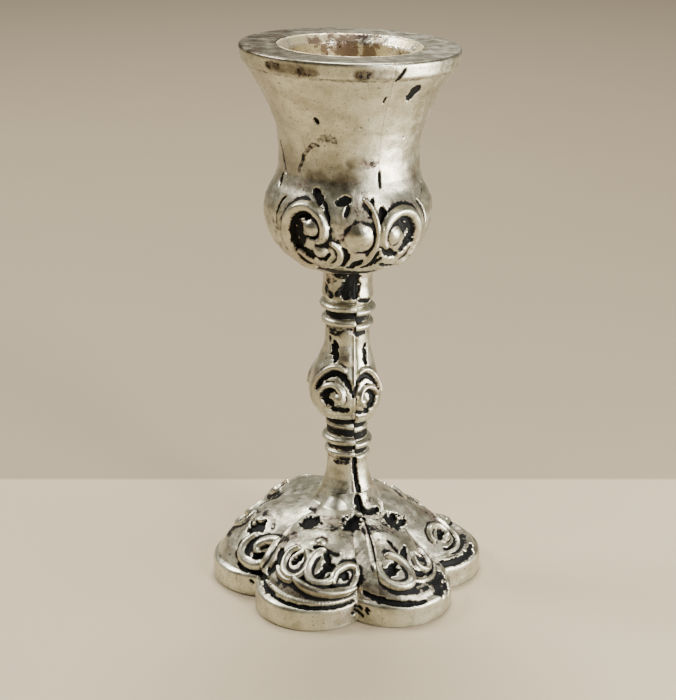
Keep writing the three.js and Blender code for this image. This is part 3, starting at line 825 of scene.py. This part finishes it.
def casting_half(part, side, outside, inside, place, by_length, relief, texture, rows, columns, soften=0.3):
    """One half of a casting. by_length says that strokes count length up the surface, and not height."""
    turn, offset = SEAMS[part]
    plane = offset + side * SEAM_GAP / 2
    path = softened(outside, soften)
    s = np.linspace(0, path[-1, 0], rows)
    r_out, z_out = np.interp(s, path[:, 0], path[:, 1]), np.interp(s, path[:, 0], path[:, 2])

    climbs = np.concatenate([[True], np.diff(np.maximum.accumulate(path[:, 2])) > 0])
    track = path if by_length else path[climbs]
    key = track[:, 0 if by_length else 2]

    def surface(degrees, v):
        r, z = place(np.interp(v, key, track[:, 1]), degrees, np.interp(v, key, track[:, 2]), 1.0, side)
        return round_points(r, np.radians(degrees), z)

    r_in, z_in = np.array(inside, float).T
    r0, z0 = np.concatenate([r_out, r_in]), np.concatenate([z_out, z_in])
    is_out = np.concatenate([np.ones(rows), np.zeros(len(r_in))])

    def edge_angle(back):
        angle = np.full(len(r0), turn + (180.0 if back else 0.0))
        for _ in range(4):
            r = place(r0, angle, z0, is_out, side)[0]
            tip = np.degrees(np.arcsin(plane / r))
            angle = turn + (180 - tip if back else tip)
        return angle

    start, end = edge_angle(side == LEFT), edge_angle(side == RIGHT)
    if side == LEFT:
        end = end + 360
    t = np.linspace(0, 1, columns)
    degrees = start[:, None] + (end - start)[:, None] * t
    r, z = place(r0[:, None], degrees, z0[:, None], is_out[:, None], side)
    a = np.radians(degrees)
    points = round_points(r, a, z)

    skin = points[:rows]
    normal = np.cross(np.gradient(skin, axis=1), np.gradient(skin, axis=0))
    normal /= np.maximum(np.linalg.norm(normal, axis=-1, keepdims=True), 1e-9)
    turned = [stroke for back in (-360, 0, 360) for stroke in turned_by(relief, back)]
    span = (degrees.min() - 15, degrees.max() + 15)
    turned = [m for m in turned if span[0] < m[4][0][0] < span[1] or span[0] < m[4][-1][0] < span[1]]
    height, dark, brown = swept_relief(surface, skin, turned)
    across = skin[..., 0] * math.cos(math.radians(turn)) + skin[..., 1] * math.sin(math.radians(turn))
    from_seam = np.abs(across - plane)
    is_front = np.cos(a[:rows] - math.radians(turn)) > 0
    level = s[:, None] if by_length else skin[..., 2]
    extra, extra_dark, extra_brown = texture(skin, level, degrees[:rows], from_seam, is_front, side)
    height = height + extra
    cavity = blurred(height, 5, 4) - height
    flecks = 0.35 * patches(skin, 0.45, 7) * (dark > 0.5)
    gathered, worn = np.clip(cavity * CREVICE_DARK, 0, 0.85), np.clip(-cavity * CREST_WEAR, 0, 0.6)
    dark = np.clip(dark - flecks + extra_dark + gathered - worn, 0, 1)
    ends = smoothstep(0, 0.4, s) * smoothstep(0, 0.4, s[-1] - s)
    skin += normal * (height * ends[:, None])[..., None]

    # every point stays on its own side of the seam, and the edges lie on it
    seam_normal = np.array([math.cos(math.radians(turn)), math.sin(math.radians(turn)), 0.0])
    clear = side * (points @ seam_normal - plane)
    least = 0.01 * np.minimum(np.arange(columns), np.arange(columns)[::-1])
    wanted = np.where(least == 0, 0.0, np.maximum(clear, least))
    points += (side * (wanted - clear))[..., None] * seam_normal
    inner = np.full((len(r_in), columns), INSIDE_GRIME)
    # the tarnish layer carries oxide with some painted shade, and the film layer brown film with some
    # painted reflections
    layers = {"tarnish_and_painted_shade": np.concatenate([dark, inner]),
              "film": np.concatenate([np.clip(brown + extra_brown, 0, 1), inner])}
    sharp = [0, rows - 1, *range(rows, rows + len(r_in))]
    side_name = "left" if side == LEFT else "right"
    node = f"{part}_{side_name}_half"
    obj = grid_mesh(f"silver_{node}", points, close_rows=True, sharp_rows=sharp, attributes=layers)
    return install(obj, node, SILVER)


def cast_skin(points, seed):
    """The uneven skin of a sand-cast and worn surface."""
    return (0.09 * value_noise(points, 4.2, seed) + 0.035 * value_noise(points, 1.5, seed + 1)
            + 0.012 * value_noise(points, 0.55, seed + 2))


def seam_line(from_seam, is_front, side, left_height, right_depth, where, edge_depth=0.04):
    """Flash on the left half's edge and a groove on the right half's, along the front seam."""
    flash = left_height * bell(from_seam, 0.2, 0.28) if side == LEFT else 0.0
    groove = -right_depth * bell(from_seam, 0, 0.4) if side == RIGHT else 0.0
    edge = -edge_depth * bell(from_seam, 0, 0.12)
    return (flash + groove) * is_front * where + edge


def foot_texture(points, s, degrees, from_seam, is_front, side):
    on_slope = plateau(s, 5, 9, 24, 27)
    swell = 0.6 * bell(s, 16.4, 2.6) * (0.5 - 0.5 * np.cos(LOBES * np.radians(degrees - CUSP)))
    skin = cast_skin(points, 11) * (0.5 + 1.2 * on_slope)
    where = plateau(s, 8, 11, 26, 29)
    seam = seam_line(from_seam, is_front, side, 0.22, 0.35, where)
    dark = (0.75 * bell(from_seam, 0, 0.45) * smoothstep(13, 15, s) * is_front * (side == RIGHT)
            + 0.42 * on_slope * patches(points, 3.1, 17, 0.1)
            + 0.2 * on_slope * patches(points, 1.1, 19)
            + 0.4 * plateau(s, 5, 7, 9, 14) * patches(points, 1.6, 18)
            + 0.45 * bell(s, 4.9, 0.45) * (0.6 + value_noise(points, 2.2, 16)))
    return skin + swell + seam, dark, 0.25 * on_slope * patches(points, 3.6, 20)


def stem_texture(points, z, degrees, from_seam, is_front, side):
    shift = MOULD_SHIFT if side == RIGHT else 0.0
    level = z + shift
    dark = np.zeros_like(z)
    facing = 0.55 + 0.45 * np.cos(np.radians(degrees + 15))
    for groove, reach, strength in (  # the grooves between the rings
            (53.15, 0.75, 1.15), (50.5, 0.45, 0.7), (32.5, 0.75, 1.3), (30.1, 0.85, 1.3),
            (27, 0.7, 1.15), (24.75, 0.35, 0.6), (55.6, 0.3, 0.4)):
        dark += strength * facing * np.exp(-(((level - groove) / reach) ** 4))
    where = (plateau(level, 33, 34, 49, 50)
             + 0.6 * (1 - smoothstep(23, 25, level)))
    seam = seam_line(from_seam, is_front, side, 0.22, 0.4, where)
    dark += 0.8 * bell(from_seam, 0, 0.4) * is_front * (side == RIGHT) * (1 - smoothstep(24, 26, z))
    wobble = 0.05 * value_noise(points, 2.2, 23) + 0.03 * value_noise(points, 0.9, 24)
    dark = dark * (0.85 + 0.45 * value_noise(points, 1.4, 25))
    brown = 0.4 * patches(points, 2.8, 28)
    return wobble + seam, dark + 0.2 * patches(points, 2.4, 27), brown


def cup_texture(points, z, degrees, from_seam, is_front, side):
    lip = smoothstep(98, 98.6, z)
    bowl = plateau(z, 62, 64, 75, 77)
    rim_top = smoothstep(HEIGHT - 0.8, HEIGHT - 0.2, z)
    shoulder = plateau(z, 75.5, 78, 82, 86)
    skin = cast_skin(points, 31) * (0.55 + 0.9 * bowl) * (1 - 0.5 * lip) * (1 - 0.9 * rim_top)
    seam = seam_line(from_seam, is_front, side, 0.12, 0.12, bowl, edge_depth=0.01)
    dark = (0.22 * bowl * patches(points, 3.0, 37)
            + 0.35 * bowl * patches(points, 1.1, 36)
            + 0.2 * shoulder * patches(points, 2.6, 38, 0.1)
            + 0.35 * bell(z, 98.2, 0.3)
            # the band at 62.4, where the bowl curves under to the neck, is oxide with painted shade
            + 0.3 * bell(z, 62.4, 0.8))
    brown = ((0.35 + 0.65 * smoothstep(-4, 14, -points[..., 0])) * rim_top
             + 0.28 * shoulder * patches(points, 4.0, 39, 0.3)
             + 0.25 * patches(points, 5.0, 40))
    return skin + seam, dark, brown


SILVER = silver_material("worn_silver_plate")
ZINC = zinc_material()

for side in (LEFT, RIGHT):
    casting_half("foot", side, foot_outside(), foot_inside(), place_foot, True,
                 front_and_back(foot_relief()) + foot_front(), foot_texture, 222, 400)
    casting_half("stem", side, stem_outside(side), stem_inside(), place_stem, False,
                 front_and_back(knop_relief()) + stem_front(), stem_texture, 470, 150, soften=0.12)
    casting_half("cup", side, cup_outside(), cup_inside(), place_cup, False,
                 front_and_back(cup_relief()) + cup_front(), cup_texture, 280, 320, soften=0.25)


# ---- Turned pieces ----
def turned_grid(profile, columns, wobble, seed):
    """Points of a profile turned round the axis, with a slight unevenness."""
    p = np.array(profile, float)
    points = round_points(p[:, :1], full_turn(columns), p[:, 1:])
    out = points * (1, 1, 0)
    out /= np.maximum(np.linalg.norm(out, axis=-1, keepdims=True), 1e-6)
    return points + out * (wobble * value_noise(points, 3.5, seed))[..., None]


def densified(profile, step):
    """The profile with extra points, no more than step apart."""
    out = [profile[0]]
    for (r1, z1), (r2, z2) in zip(profile, profile[1:]):
        n = max(1, math.ceil(math.hypot(r2 - r1, z2 - z1) / step))
        out += [(r1 + (r2 - r1) * k / n, z1 + (z2 - z1) * k / n) for k in range(1, n + 1)]
    return out


def socket_liner():
    bottom, top = bottom_of("socket_liner"), HEIGHT
    core = 0.6
    rolled = liner_outside(top) + LINER_FUNNEL
    profile = densified([
        (core, bottom), (liner_outside(bottom) - 0.4, bottom), (liner_outside(bottom), bottom + 0.4),
        (liner_outside(FUNNEL_START), FUNNEL_START), (rolled - 0.15, top - 0.2), (rolled - 0.25, top),
        (rolled - LINER_WALL, top - 0.05), (liner_outside(FUNNEL_START) - LINER_WALL, FUNNEL_START),
        (liner_outside(SOCKET_FLOOR) - LINER_WALL, SOCKET_FLOOR + 0.5),
        (liner_outside(SOCKET_FLOOR) - LINER_WALL - 0.5, SOCKET_FLOOR), (core, SOCKET_FLOOR),
    ], 0.45)
    obj = grid_mesh("spun_socket_liner", turned_grid(profile, 144, 0.035, 41), close_columns=True)
    install(obj, "socket_liner", liner_material())


def thread(z, a):
    """The groove of a screw thread, from 0 at its crest to 1 at its root."""
    phase = (z[:, None] / THREAD_PITCH - a / (2 * np.pi)) % 1
    return np.clip(1 - np.abs(phase - 0.5) * 2.6, 0, 1)


def tie_rod():
    bottom, top = bottom_of("tie_rod"), top_of("tie_rod")
    depth, chamfer = 0.38, 0.45
    z = np.arange(bottom, top + 1e-6, THREAD_PITCH / 7)
    a = full_turn(36)
    end = np.minimum(z - bottom, top - z)[:, None]
    r = np.minimum(ROD_RADIUS - depth * thread(z, a), ROD_RADIUS - chamfer + end)
    points = round_points(r, a, z[:, None])
    obj = grid_mesh("threaded_tie_rod", points, close_columns=True, sharp_rows=(0, len(z) - 1))
    install(obj, "tie_rod", ZINC)


def hex_nut(node):
    bottom, top = bottom_of(node), top_of(node)
    flat, thread_depth = 3.5, 0.22
    corner = flat / math.cos(math.pi / 6)
    a = full_turn(144)
    hexagon = flat / np.cos((a + math.pi / 6) % (math.pi / 3) - math.pi / 6)
    hexagon = np.minimum(hexagon, corner - 0.12)
    rise = np.concatenate([np.linspace(0, 0.6, 9), np.linspace(0.8, top - bottom - 0.8, 8),
                           np.linspace(top - bottom - 0.6, top - bottom, 9)])
    edge = np.minimum(rise, top - bottom - rise)
    outer = np.minimum(hexagon[None], (flat - 0.05 + edge * 1.6)[:, None])
    inner_rise = np.linspace(top - bottom, 0, 31)
    inner_edge = np.minimum(inner_rise, top - bottom - inner_rise)
    inner = NUT_BORE_RADIUS + np.maximum(thread_depth * thread(inner_rise, a), (0.35 - inner_edge)[:, None])
    r = np.concatenate([outer, inner])
    z = bottom + np.concatenate([rise, inner_rise])
    points = round_points(r, a, z[:, None])
    sharp = (0, len(rise) - 1, len(rise), len(r) - 1)
    obj = grid_mesh(f"threaded_{node}", points, close_columns=True, close_rows=True, sharp_rows=sharp)
    install(obj, node, ZINC)


def washer(node, outer, inner, gap=0.0):
    """A washer with rounded edges. One with a gap is split through at its +X side."""
    low, high = bottom_of(node), top_of(node)
    middle, half, corner = (low + high) / 2, (high - low) / 2, 0.16
    bend = np.radians(np.linspace(0, 90, 5))
    profile = []
    for r, z, start in ((outer, low, 0), (outer, high, 1), (inner, high, 2), (inner, low, 3)):
        centre_r = r - corner if r == outer else r + corner
        centre_z = middle + (half - corner) * (1 if z == high else -1)
        turn = bend + (start - 1) * math.pi / 2
        profile += [(centre_r + corner * math.cos(t), centre_z + corner * math.sin(t)) for t in turn]
    p = np.array(profile)
    columns = 120
    half_gap = math.radians(gap) / 2
    a = np.linspace(half_gap, 2 * np.pi - half_gap, columns) if gap else full_turn(columns)
    points = round_points(p[:, :1], a + math.pi / 2, p[:, 1:])
    points += 0.012 * value_noise(points, 1.2, 51)[..., None]
    obj = grid_mesh(f"pressed_{node}", points, close_columns=not gap, close_rows=True)
    install(obj, node, ZINC)


def felt_pad():
    top, columns = FELT_TOP, 360
    fit, edge = 0.3, 0.35
    full = FOOT_RADIUS - REBATE - fit
    bend = np.radians(np.linspace(-90, 90, 9))
    inward = np.linspace(0.02, 1, 60) * (full - edge)
    rows = [(r, 0.0) for r in inward]
    rows += [(full - edge + edge * math.cos(t), top / 2 + top / 2 * math.sin(t)) for t in bend[1:-1]]
    rows += [(r, top) for r in inward[::-1]]
    p = np.array(rows)
    degrees = np.linspace(0, 360, columns, endpoint=False)
    r = p[:, :1] / FOOT_RADIUS * outline_radius(degrees)
    points = round_points(r, np.radians(degrees), p[:, 1:])
    fuzz = 0.03 * value_noise(points, 0.8, 61) + 0.04 * value_noise(points, 2.5, 62)
    points[..., 2] += np.where(points[..., 2] > top / 2, fuzz - 0.07, fuzz + 0.07)
    obj = grid_mesh("lobed_felt_pad", points, close_columns=True)
    install(obj, "felt_pad", felt_material())


socket_liner()
tie_rod()
for nut in ("cup_nut", "foot_nut"):
    hex_nut(nut)
washer("foot_washer", FOOT_WASHER_RADIUS, WASHER_BORE_RADIUS)
washer("spring_washer", SPRING_WASHER_RADIUS, WASHER_BORE_RADIUS, gap=14)
felt_pad()


# ---- Camera, floor and light ----
WARM = (1.0, 0.97, 0.93)
CAMERA_LENS, CAMERA_DOWN = 78.1, 20.48
CAMERA_PLACE = (-0.00176, -0.2630, 0.1434)
WALL_LINE = 39 * MM  # the floor turns from pale to a darker beige this far behind the axis: painted shade standing in for a backdrop wall

camera_data = bpy.data.cameras.new("camera")
camera_data.lens = CAMERA_LENS
camera = bpy.data.objects.new("camera", camera_data)
camera.location = CAMERA_PLACE
camera.rotation_euler = (math.radians(90 - CAMERA_DOWN), 0, 0)
bpy.context.scene.collection.objects.link(camera)
bpy.context.scene.camera = camera


def floor():
    mesh = bpy.data.meshes.new("floor")
    size = 3.0
    corners = [(-size, -size, 0), (size, -size, 0), (size, size, 0), (-size, size, 0)]
    mesh.from_pydata(corners, [], [(0, 1, 2, 3)])
    obj = bpy.data.objects.new("floor", mesh)
    bpy.context.scene.collection.objects.link(obj)
    n = Nodes("pale_floor")
    split = n.tree.nodes.new("ShaderNodeSeparateXYZ")
    n.tree.links.new(n.place, split.inputs[0])
    behind = n.ramp(split.outputs["Y"], WALL_LINE, WALL_LINE + 1.5 * MM)
    mottle = n.noise(60 * MM, 3)
    pale = n.mix(mottle, (0.405, 0.335, 0.222), (0.43, 0.36, 0.24))
    # painted shade: behind the wall line the floor is a darker beige, standing in for a backdrop wall that
    # gets less light
    painted_wall_shade = n.mix(mottle, (0.25, 0.203, 0.132), (0.268, 0.22, 0.145))
    # painted light: the backdrop part turns paler further back, like a wall lit more brightly towards its
    # top
    painted_wall_shade = n.mix(n.ramp(split.outputs["Y"], 0.15, 1.2), painted_wall_shade, (0.53, 0.44, 0.31))
    obj.data.materials.append(n.finish(Base_Color=n.mix(behind, pale, painted_wall_shade), Roughness=0.75))


def area_light(name, place, aim, size, power, colour):
    data = bpy.data.lights.new(name, "AREA")
    data.shape = "RECTANGLE"
    data.size, data.size_y = size
    data.energy = power
    data.color = colour
    obj = bpy.data.objects.new(name, data)
    obj.location = place
    obj.rotation_euler = (Vector(aim) - Vector(place)).to_track_quat("-Z", "Y").to_euler()
    bpy.context.scene.collection.objects.link(obj)


def world():
    made = bpy.data.worlds.new("studio")
    made.use_nodes = True
    tree = made.node_tree
    background = tree.nodes["Background"]
    coordinates = tree.nodes.new("ShaderNodeTexCoord")
    split = tree.nodes.new("ShaderNodeSeparateXYZ")
    up = tree.nodes.new("ShaderNodeValToRGB")
    front = tree.nodes.new("ShaderNodeMapRange")
    blend = tree.nodes.new("ShaderNodeMix")
    blend.data_type = "RGBA"
    blend.blend_type = "MULTIPLY"
    blend.inputs[0].default_value = 1.0
    tree.links.new(coordinates.outputs["Generated"], split.inputs[0])
    tree.links.new(split.outputs["Z"], up.inputs[0])
    tree.links.new(split.outputs["Y"], front.inputs["Value"])
    for key, value in (("From Min", -0.75), ("From Max", 0.35), ("To Min", 0.30), ("To Max", 1.0)):
        front.inputs[key].default_value = value
    tree.links.new(up.outputs["Color"], blend.inputs[6])
    tree.links.new(front.outputs["Result"], blend.inputs[7])
    tree.links.new(blend.outputs[2], background.inputs["Color"])
    up.color_ramp.elements[0].position = 0.45
    up.color_ramp.elements[0].color = (0.31, 0.28, 0.225, 1)
    up.color_ramp.elements[1].position = 1.0
    up.color_ramp.elements[1].color = (0.95, 0.90, 0.82, 1)
    background.inputs["Strength"].default_value = 0.8
    bpy.context.scene.world = made


floor()
world()
area_light("window", (0.22, -0.095, 0.055), (0, 0, 0.075), (0.18, 0.09), 1.3, (1.0, 0.98, 0.95))
area_light("key", (0.42, -0.5, 0.42), (0, 0, 0.05), (0.16, 0.3), 4.0, WARM)
area_light("fill", (-0.5, 0.1, 0.5), (0, 0, 0.05), (0.2, 0.2), 4.6, WARM)
area_light("top", (0.0, 0.25, 0.65), (0, 0, 0.02), (0.3, 0.2), 7.0, WARM)
